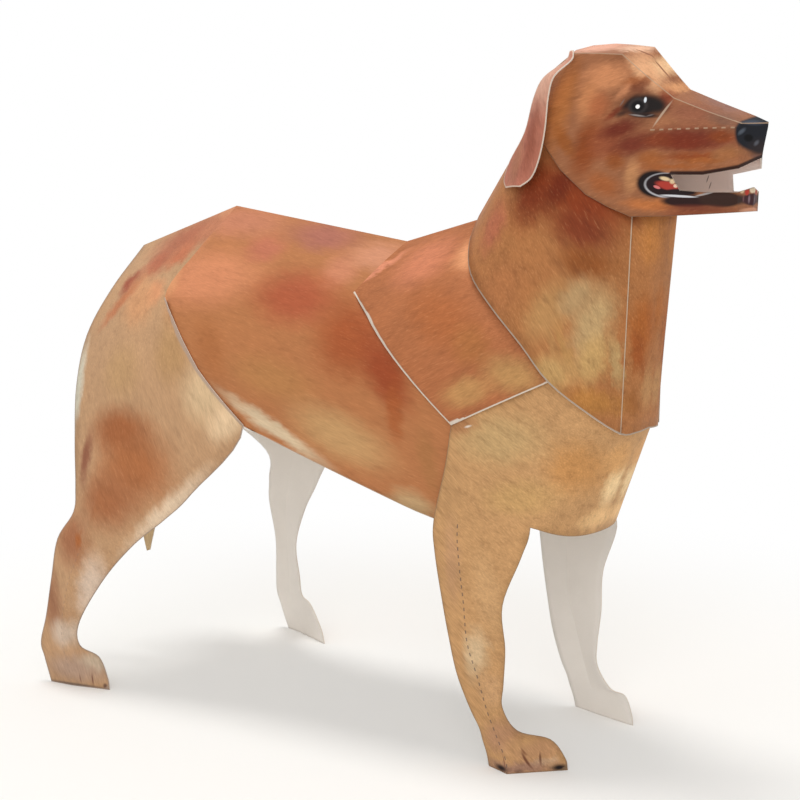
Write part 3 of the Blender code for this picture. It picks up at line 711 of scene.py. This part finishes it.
class Sheet:
    def __init__(self):
        self.mesh = bmesh.new()
        self.folds = []
        self.creases = []

    def keep(self, lines, points, side):
        # a line of the sheet that its print follows
        lines.append([toFrame(point) for point in onSide(points, side)])

    def strip(self, rows, slot=0, side="right"):
        # the first row becomes a chain of edges, and each next row is extruded from the last one
        rows = [onSide(row, side) for row in rows]
        old = set(self.mesh.faces)
        chain = [self.mesh.verts.new(toFrame(point)) for point in rows[0]]
        edges = [self.mesh.edges.new(pair) for pair in zip(chain, chain[1:])]
        for row in rows[1:]:
            grown = bmesh.ops.extrude_edge_only(self.mesh, edges=edges)["geom"]
            fresh = {item for item in grown if isinstance(item, bmesh.types.BMVert)}
            pulled = []
            for vert, point in zip(chain, row):
                ends = [edge.other_vert(vert) for edge in vert.link_edges]
                partner = next(end for end in ends if end in fresh)
                partner.co = toFrame(point)
                pulled.append(partner)
            edges = [self.mesh.edges.get(pair) for pair in zip(pulled, pulled[1:])]
            chain = pulled
        for face in self.mesh.faces:
            if face not in old:
                face.material_index = slot

    def measureLines(self):
        # how far every corner is from a cut edge, a fold and a crease, and how far along the fold, in mm
        layers = self.mesh.verts.layers.float
        edge, fold, run, crease = [layers.new(name) for name in ("edge", "fold", "run", "crease")]
        cuts = [item for item in self.mesh.edges if item.is_boundary]
        shares = (0.0, 0.25, 0.5, 0.75, 1.0)
        tree = kdtree.KDTree(len(cuts) * len(shares))
        for number, item in enumerate(cuts):
            for share in shares:
                tree.insert(item.verts[0].co.lerp(item.verts[1].co, share), number)
        tree.balance()
        for vert in self.mesh.verts:
            vert[edge] = 0.0 if vert.is_boundary else tree.find(vert.co)[2] / mm
            vert[fold], vert[run] = nearestOn(self.folds, vert.co)
            vert[crease] = nearestOn(self.creases, vert.co)[0]

    def finish(self, name, prints, node, slot, sharpAngle=16, inside=bareCard):
        # strips joined, printed side out, then given the card's thickness inwards
        weld = card["weld"] * mm
        bmesh.ops.remove_doubles(self.mesh, verts=self.mesh.verts, dist=weld)
        bmesh.ops.dissolve_degenerate(self.mesh, edges=self.mesh.edges, dist=weld)
        bmesh.ops.recalc_face_normals(self.mesh, faces=self.mesh.faces)
        outward = 0.0
        for face in self.mesh.faces:
            outward += face.calc_area() * face.normal.y * (face.calc_center_median().y - modelShift.y * mm)
            face.smooth = True
        if outward < 0:
            bmesh.ops.reverse_faces(self.mesh, faces=self.mesh.faces)
        self.measureLines()
        data = bpy.data.meshes.new(name)
        self.mesh.to_mesh(data)
        self.mesh.free()
        data.set_sharp_from_angle(angle=math.radians(sharpAngle))
        sheet = addObject(name, data)
        for material in prints + [inside] * len(prints) + [cutEdge]:
            data.materials.append(material)
        thicken = sheet.modifiers.new("Card", "SOLIDIFY")
        thicken.thickness = card["thickness"] * mm
        thicken.offset = -1
        thicken.material_offset = len(prints)
        thicken.material_offset_rim = len(prints) * 2
        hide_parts(node)
        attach(sheet, "root")
        print(name, "made")


# The body sheet: thighs and hind legs, flanks, and the shoulder flaps

body = {
    "slit": [(-115.0, 110.2), (-108.6, 104.1), (-102.7, 97.6), (-97.6, 91.8), (-90.2, 85.2), (-82.4, 78.6)],
    "flapRear": (-55.0, 113.9), "flapLow": (-18.2, 84.3), "flapFront": (7.0, 96.6), "flapSink": 1.0,
    "bellyRear": 79.3, "bellyFront": (-19.0, 56.5), "hindFoot": 36.0, "leftOut": 8.5,
    "creaseFrom": 4.6, "deeperReach": 14.0, "deeperOver": 7.0,
    "thighAcross": 6, "across": 22, "down": 2, "flapAcross": 20, "sinkAcross": 4,
}


def hindLegLines(side):
    topRear = (trunk["tailRoot"][0], 0, trunk["tailRoot"][1])
    topFront = (trunk["rump"][0], 0, trunk["rump"][1])
    slit = [skin(x, z) for x, z in body["slit"]]
    out = body["hindFoot"]
    rear = [topRear, skin(-141.4, 111), skin(-146, 98), (-145.2, -24, 84), (-142, -28.5, 69)]
    fold = [mixed(topRear, topFront, 0.5), skin(-127, 117), skin(-130, 104)]
    fold += [(-124, -27.8, 91), (-121, -30.2, 75)]
    front = [topFront, skin(-110.5, 122.8), slit[0], slit[2], slit[5]]
    if side == "right":
        rear += [(-138.8, -32, 57), (-138.4, -33.5, 50), (-143.4, 1 - out, 42), (-145.2, -out, 31)]
        rear += [(-147.3, -0.5 - out, 19.5), (-149.7, -0.5 - out, 11.5), (-149, -out, 7), (-147.6, -out, 3)]
        rear += [(-146.5, -out, 0)]
        fold += [(-127, -33.5, 60), (-130.5, -35, 49), (-133.5, -out, 41), (-138, -1 - out, 30)]
        fold += [(-140.6, -1 - out, 19), (-141, -0.7 - out, 12), (-140.5, -out, 8), (-139.5, 0.6 - out, 3)]
        fold += [(-139, 0.6 - out, 0)]
        front += [(-101, -26.5, 58), (-110, -27.3, 50), (-120, 7 - out, 42), (-129.5, 5 - out, 31.5)]
        front += [(-137.5, 3 - out, 18.5), (-137.8, 3 - out, 11.5), (-132, 4.5 - out, 8.6)]
        front += [(-128, 3.6 - out, 3.4), (-127.2, 3.4 - out, 0)]
    else:
        far = -out - body["leftOut"]
        rear[4] = (-136, -28, 72)
        rear += [(-119.5, -30.5, 60), (-120, -32.5, 51), (-122, -35, 43.5), (-122, 6.5 + far, 31)]
        rear += [(-124.5, 3 + far, 19), (-125.5, 1.5 + far, 12.5), (-124.8, 0.5 + far, 8)]
        rear += [(-123.5, far, 3.5), (-122, far, 0)]
        fold[4] = (-114, -30, 75)
        fold += [(-110, -31, 59.5), (-113, -33, 50.5), (-115.5, -35, 43), (-118, 6 + far, 31)]
        fold += [(-119.5, 3 + far, 19), (-120, 2 + far, 12.8), (-119, 1.5 + far, 9.5)]
        fold += [(-117, 2 + far, 4), (-116, 2 + far, 0)]
        front += [(-94.8, -27, 58), (-100, -29, 50.5), (-105.5, -31, 42.5), (-111, -34, 31)]
        front += [(-112, 7.5 + far, 20), (-112.6, 5.5 + far, 13.5), (-108.6, 6.5 + far, 11.2)]
        front += [(-103.5, 8 + far, 4.5), (-102.3, 8 + far, 0)]
    return rear, fold, front


def bodySide(sheet, side):
    down, across, thighAcross = body["down"], body["across"], body["thighAcross"]
    rear, fold, front = [curved(line, fine) for line in hindLegLines(side)]
    # the whole slit takes the place of two stretches of the leg's front edge
    slit = straight(body["slit"], 2 * fine)[::len(body["slit"]) - 1]
    front[2 * fine:4 * fine + 1] = [skin(x, z) for x, z in slit]
    rows = []
    for index, ends in enumerate(zip(rear, fold, front)):
        # round over the thigh, creased along the fold lower down
        crisp = min(max((index - body["creaseFrom"] * fine) / fine, 0.0), 1.0)
        pairs = zip(curved(ends, thighAcross), straight(ends, thighAcross))
        rows.append([mixed(a, b, crisp) for a, b in pairs])
    sheet.strip(rows, 1, side)
    sheet.keep(sheet.folds, fold[7 * fine:], side)

    crease = straight([trunk["loin"], body["flapRear"]], 2 * fine)
    saddle = []
    for start, end in zip(front[:2 * fine + 1], crease):
        row = [skin(x, z) for x, z in straight([(start[0], start[2]), end], across)]
        row[0] = start
        saddle.append(row)
    saddle[0] = [(x, 0, ridge(x)) for x, y, z in saddle[0]]
    sheet.strip(saddle, 0, side)

    # the flank tucks under the thigh, the shoulder flap and the front leg
    slit = straight(body["slit"], 2 * down)
    rearEdge = []
    for k, (x, z) in enumerate(slit):
        share = k / down
        rearEdge.append((x - mixed(0.3, card["tuck"], min(share / 3, 1)), z - mixed(0.1, 1.0, share / 10)))
    rearEdge[-1] = (slit[-1][0] - card["tuck"], body["bellyRear"])
    flapEdge = straight([body["flapRear"], body["flapLow"]], 6 * down)
    frontEdge = [(x + card["tuck"] * min(k / down / 2, 1), z) for k, (x, z) in enumerate(flapEdge)]
    frontEdge += straight([frontEdge[-1], body["bellyFront"]], 4 * down)[1:]
    deeperFrom = body["flapLow"][0] - body["deeperReach"]
    flank = [saddle[-1]]
    for k in range(1, 10 * down + 1):
        row = []
        for x, z in straight([rearEdge[k], frontEdge[k]], across):
            deeper = min(max((x - deeperFrom) / body["deeperOver"], 0.0), 1.0)
            row.append(skin(x, z, layer + layer * deeper))
        flank.append(row)
    sheet.strip(flank, 0, side)

    # the flap, from the crease behind it to where it goes under the neck
    lowEdge = straight([body["flapRear"], body["flapLow"]], 6 * down)
    rearEdge = crease + lowEdge[1:]
    withersX = trunk["withers"][0] + 6
    frontKeys = [(withersX, ridge(withersX)), (-20, 124), (-15, 118.5), (-7, 112), (1.5, 104)]
    frontKeys.append(body["flapFront"])
    # as many points as the rear edge has
    frontEdge = curved(frontKeys, 2 * fine + 6 * down)[::len(frontKeys) - 1]
    wide, sinking = body["flapAcross"], body["sinkAcross"]
    depths = [body["flapSink"] * max(k - wide + sinking, 0) / sinking for k in range(wide + 1)]
    flap = []
    for start, end in zip(rearEdge, frontEdge):
        flap.append([skin(x, z, depth) for (x, z), depth in zip(straight([start, end], wide), depths)])
    flap[0] = [(x, 0, ridge(x)) for x, y, z in flap[0]]
    sheet.strip(flap, 2, side)


def makeBody():
    sheet = Sheet()
    bodySide(sheet, "right")
    bodySide(sheet, "left")
    prints = [printedCard("flankPrint", flankPrint), printedCard("thighPrint", thighPrint)]
    prints.append(printedCard("flapPrint", flapPrint))
    sheet.finish("dogBody", prints, "body_sheet", "body_card")


makeBody()


# The chest sheet: the bib and both front legs

chest = {
    "foot": 24.0, "bibHalf": 21.5, "bibTop": 85.8, "bibLow": 56.8, "bibBend": 9.0, "cornerRise": 3.6,
    "bibInside": 0.6, "underFlap": 0.9, "legAcross": 5, "bibAcross": 16,
}


def frontLegLines(side):
    out, bibHalf, sink = chest["foot"], chest["bibHalf"], body["flapSink"]
    rear = [skin(-17.4, 88, layer), skin(-18.6, 83.9, layer), (-20.5, -26.9, 74), (-24.2, -26.1, 60)]
    fold = [skin(-12, 91, layer + card["gap"]), skin(-13, 86, layer), (-14.5, -27.3, 75), (-16.7, -27.2, 60)]
    front = [skin(2, 97.5, layer + sink), skin(1.7, 90, layer + sink * 0.6), skin(1, 75, layer)]
    front.append((0.2, -bibHalf, 60.2))
    if side == "right":
        rear += [(-24.2, -25.6, 52), (-22.4, -25, 40), (-20.6, -0.6 - out, 30.5), (-18.4, -0.3 - out, 21.5)]
        rear += [(-14.9, -out, 13.5), (-12.2, -out, 9), (-11, -0.2 - out, 6), (-9.6, -0.6 - out, 3)]
        rear += [(-8.8, -0.8 - out, 0)]
        fold += [(-16.7, -26.6, 51), (-15.6, -26, 40), (-14.8, -1.6 - out, 30.5), (-12, -1.2 - out, 22)]
        fold += [(-9.5, -0.8 - out, 14), (-6.6, -1.4 - out, 8.6), (-4.6, -2.4 - out, 6)]
        fold += [(-2.8, -3 - out, 3), (-2.4, -3.2 - out, 0)]
        front += [(-2.2, -bibHalf, 52.5), (-7.2, -bibHalf, 40), (-6.5, 2.8 - out, 29), (-7, 3 - out, 20)]
        front += [(-7.2, 3 - out, 14), (-3.5, 4 - out, 8.6), (4.5, 6 - out, 7.4)]
        front += [(8.2, 7 - out, 3), (8.8, 7.2 - out, 0)]
    else:
        rear += [(-23.5, -27, 52), (-21.7, -26.5, 40), (-19.9, -2 - out, 30.5), (-18, -1.7 - out, 21.5)]
        rear += [(-15.4, -1.6 - out, 13.5), (-13.4, -1.8 - out, 9), (-12.5, -2.1 - out, 6)]
        rear += [(-11.5, -2.4 - out, 3), (-10.8, -2.6 - out, 0)]
        fold += [(-15.7, -28, 51), (-14.6, -27.5, 40), (-13.8, -3 - out, 30.5), (-11, -2.6 - out, 22)]
        fold += [(-8.5, -2.2 - out, 14), (-6.4, -1.6 - out, 8.6), (-5, -1 - out, 6)]
        fold += [(-3.6, -0.3 - out, 3), (-3, -0.1 - out, 0)]
        front += [(2.3, -22.5, 52.5), (-1.6, -22.8, 40), (-1.9, 1.3 - out, 29), (-2.8, 1.5 - out, 20)]
        front += [(-2.6, 1.5 - out, 14), (1.5, 2 - out, 8.6), (5.9, 2.2 - out, 7.4)]
        front += [(8.2, 2.8 - out, 3), (8.7, 3 - out, 0)]
    return rear, fold, front


def bibLine(share):
    across = share * chest["bibHalf"]
    bend = trunk["widestHeight"] - chest["bibBend"]
    top = mixed(chest["bibTop"], body["flapFront"][1] + chest["underFlap"], share ** 3)
    bottom = chest["bibLow"] + chest["cornerRise"] * share ** 4
    half = trunk["chestHalf"] - layer - chest["bibInside"]
    reach = (1 - min(across / half, 1) ** trunk["squareness"]) ** (1 / trunk["squareness"])
    line = []
    for z in (top, mixed(top, bend, 0.5), bend, bottom):
        line.append((trunk["shoulderX"] + (breast(z) - layer - trunk["shoulderX"]) * reach, -across, z))
    return line


def makeChest():
    sheet = Sheet()
    fronts = {}
    for side in ("right", "left"):
        rear, fold, front = [curved(line, fine) for line in frontLegLines(side)]
        rows = [straight(ends, chest["legAcross"]) for ends in zip(rear, fold, front)]
        sheet.strip(rows, 0, side)
        sheet.keep(sheet.folds, fold[3 * fine:], side)
        fronts[side] = onSide(front[:3 * fine + 1], side)
    wide = chest["bibAcross"]
    half = [curved(bibLine(k / wide), fine) for k in range(wide)]
    sheet.strip([fronts["right"]] + half[::-1] + [mirrored(line) for line in half[1:]] + [fronts["left"]])
    sheet.finish("dogChest", [printedCard("chestPrint", chestPrint)], "chest_sheet", "chest_card")


makeChest()


# The neck: a tapering tube whose side panels lie over its front panel

neck = {
    "baseHalf": 11.0, "topHalf": 12.4, "ease": 0.15, "stepBack": 0.288, "stepIn": 0.096,
    "rows": 12, "steps": 4,
}


def makeNeck():
    sheet = Sheet()
    over = -layer - neck["ease"]
    low = [(trunk["withers"][0] - 0.3, 0, trunk["withers"][1] - over)]
    for x, z in [(-25, 126.4), (-20.1, 119.3), (-11.4, 112.3), (-1.5, 103.9), (5.5, 95.8), (13.3, 88.5)]:
        low.append(skin(x, z, over))
    front = breast(83) - over
    half = neck["baseHalf"]
    low += [(front - 1.9, -half, 83), (front, -half * 0.5, 82.8), (front + 0.4, 0, 83.2)]
    half = neck["topHalf"]
    high = [(-5.5, 0, 166.8), (-3, 4.5 - half, 163), (-0.5, 2 - half, 157.5), (3, 0.6 - half, 151.5)]
    high += [(7, -half, 146.5), (12.5, 0.1 - half, 141.5), (17, 1.2 - half, 138), (19.8, 2.6 - half, 136)]
    high += [(24, 5.2 - half, 135.7), (25, 0, 135.7)]
    rings, seam = [], []
    corner = 7 * neck["steps"]
    for ring in between(curved(low, neck["steps"]), curved(high, neck["steps"]), neck["rows"]):
        # the front panel starts a card's thickness behind the side panel's cut edge
        seam.append(ring[corner])
        panel = [(x - neck["stepBack"], y + neck["stepIn"], z) for x, y, z in ring[corner:]]
        ring = ring[:corner + 1] + panel
        rings.append(ring + mirrored(ring)[-2::-1])
    sheet.strip(rings)
    for side in ("right", "left"):
        sheet.keep(sheet.creases, seam, side)
    sheet.finish("dogNeck", [printedCard("neckPrint", neckPrint)], "neck_sheet", "neck_card")


makeNeck()


# The head: a roof over two cheeks, closed in front and cut open at the mouth

head = {"steps": 4, "roofRows": 4, "cheekRows": 5, "cornerRows": 2, "jawRows": 3, "sharpAngle": 9}


def headLines():
    top = [(-6.2, 0, 169.1), (-0.5, 0, 173.4), (4, 0, 174.3), (10, 0, 174.5), (15, 0, 174), (20, 0, 173.3)]
    top += [(28.7, 0, 163.5), (36.5, 0, 160.3), (45.1, 0, 157), (48.2, 0, 155.6)]
    seam = [(-2.2, -9.4, 168), (3.5, -9.5, 172), (8, -10, 171.8), (12.5, -10, 171.5), (16.4, -10, 171.2)]
    seam += [(22.5, -9.2, 166), (28.6, -8, 161.1), (36.5, -7.6, 158), (44.5, -7, 155.2), (48.2, 0, 155.4)]
    cheek = [(-4.5, -12.6, 160.5), (-1, -13.2, 160), (5.5, -13.6, 158), (11.5, -13.8, 157)]
    cheek += [(17.5, -13, 155.5), (24.8, -12, 153.9), (29, -11.2, 154), (36.5, -9.6, 154.2)]
    cheek += [(44, -7.8, 154.3), (48.1, 0, 154.4)]
    upperLip = [(-4.5, -13.4, 156), (-1.5, -14, 153), (3.5, -14.2, 149.5), (10, -14.2, 146)]
    upperLip += [(16, -13.3, 144.5), (22, -12.4, 143.6), (29.5, -10.8, 143.8), (36.5, -9.2, 143.8)]
    upperLip += [(44.2, -7.3, 145.2), (46.8, 0, 147.6)]
    lowerLip = [(-4.5, -13.4, 154.8), (-1.5, -14, 151.8), (3.2, -14.2, 147.8), (9.8, -14.2, 143)]
    lowerLip += [(15.8, -13.4, 140.6), (22, -12.4, 140), (31.5, -10.4, 140.3), (37, -8.8, 139.9)]
    lowerLip += [(43.9, -6.7, 139.9), (45.3, 0, 141)]
    jaw = [(-4.5, -13.4, 153.6), (-1.5, -14, 150.7), (3, -14.2, 144.9), (9.7, -14.2, 139.2)]
    jaw += [(15, -13.4, 136.4), (20.3, -12.4, 134.2), (28, -10.8, 134.4), (36.5, -8.8, 134.9)]
    jaw += [(43.9, -6.3, 135.4), (45, 0, 135.5)]
    return top, seam, cheek, upperLip, lowerLip, jaw


def makeHead():
    sheet = Sheet()
    steps = head["steps"]
    top, seam, cheek, upperLip, lowerLip, jaw = [straight(line, steps) for line in headLines()]
    # the far cheek is cut less far back than the near one, and shows through the mouth
    mouthStarts = {"right": 6 * steps, "left": 7 * steps}
    for side in ("right", "left"):
        rows = between(top, seam, head["roofRows"]) + between(seam, cheek, head["cheekRows"])[1:]
        rows += between(cheek, upperLip, head["cheekRows"])[1:]
        sheet.strip(rows, 0, side)
        corner = between(upperLip, lowerLip, head["cornerRows"])
        sheet.strip([row[:mouthStarts[side] + 1] for row in corner], 0, side)
        sheet.strip(between(lowerLip, jaw, head["jawRows"]), 0, side)
        sheet.keep(sheet.creases, seam[:9 * steps + 1], side)
        sheet.keep(sheet.folds, cheek[5 * steps:8 * steps + 1], side)
    look = printedCard("headPrint", headPrint)
    sheet.finish("dogHead", [look], "head_sheet", "head_card", head["sharpAngle"], mouthCard)


makeHead()


# The ears and the tail

ear = {"standOff": 2.4, "width": 11.0, "spread": 0.52, "cup": 0.32, "droop": 0.05}
tail = {"width": 11.0, "across": 8, "rise": 0.35}


def makeEar(name, side, node, look):
    sheet = Sheet()
    out = -14.2 - ear["standOff"]
    # the front edge from the root down, each key with its share of the ear's width
    keys = [(4.5, -11.2, 172.5, 0.12), (5.2, -13.5, 170.2, 0.2), (2.4, out, 166.5, 0.36)]
    keys += [(1.1, out - 0.4, 161.8, 0.5), (0.3, out - 0.4, 154.2, 0.68), (-1.3, out, 147.7, 1)]
    keys += [(-3.3, out, 143.2, 0.95), (-6.4, out, 141, 0.5)]
    rows = []
    for x, y, z, share in curved(keys, 5):
        wide = ear["width"] * share
        rearY = y + wide * ear["spread"]
        middle = (x - wide / 2, mixed(y, rearY, ear["cup"]), z)
        rows.append(curved([(x, y, z), middle, (x - wide, rearY, z - wide * ear["droop"])], 6))
    sheet.strip(rows, 0, side)
    sheet.finish(name, [look], node, "ear_card")


def makeTail():
    sheet = Sheet()
    x, z = trunk["tailRoot"]
    # the rear edge from the root down, each key with its share of the tail's width
    keys = [(x - 0.5, z - 1.6, 0.55), (x - 8, z - 9, 0.7), (x - 15, z - 23, 1), (x - 17, z - 42, 1.15)]
    keys += [(x - 13.5, z - 61, 1.15), (x - 5, z - 80, 0.7), (x - 1.5, z - 91.5, 0.12)]
    rows = []
    for rearX, rearZ, share in curved(keys, 8):
        wide = tail["width"] * share
        front = (rearX + wide, rearZ + wide * tail["rise"])
        line = straight([(rearX, rearZ), front], tail["across"])
        rows.append([(px, -card["thickness"] / 2, pz) for px, pz in line])
    sheet.strip(rows)
    sheet.finish("dogTail", [printedCard("tailPrint", tailPrint)], "tail_sheet", "tail_card")


earLook = printedCard("earPrint", earPrint)
makeEar("dogEarRight", "right", "ear_right", earLook)
makeEar("dogEarLeft", "left", "ear_left", earLook)
makeTail()
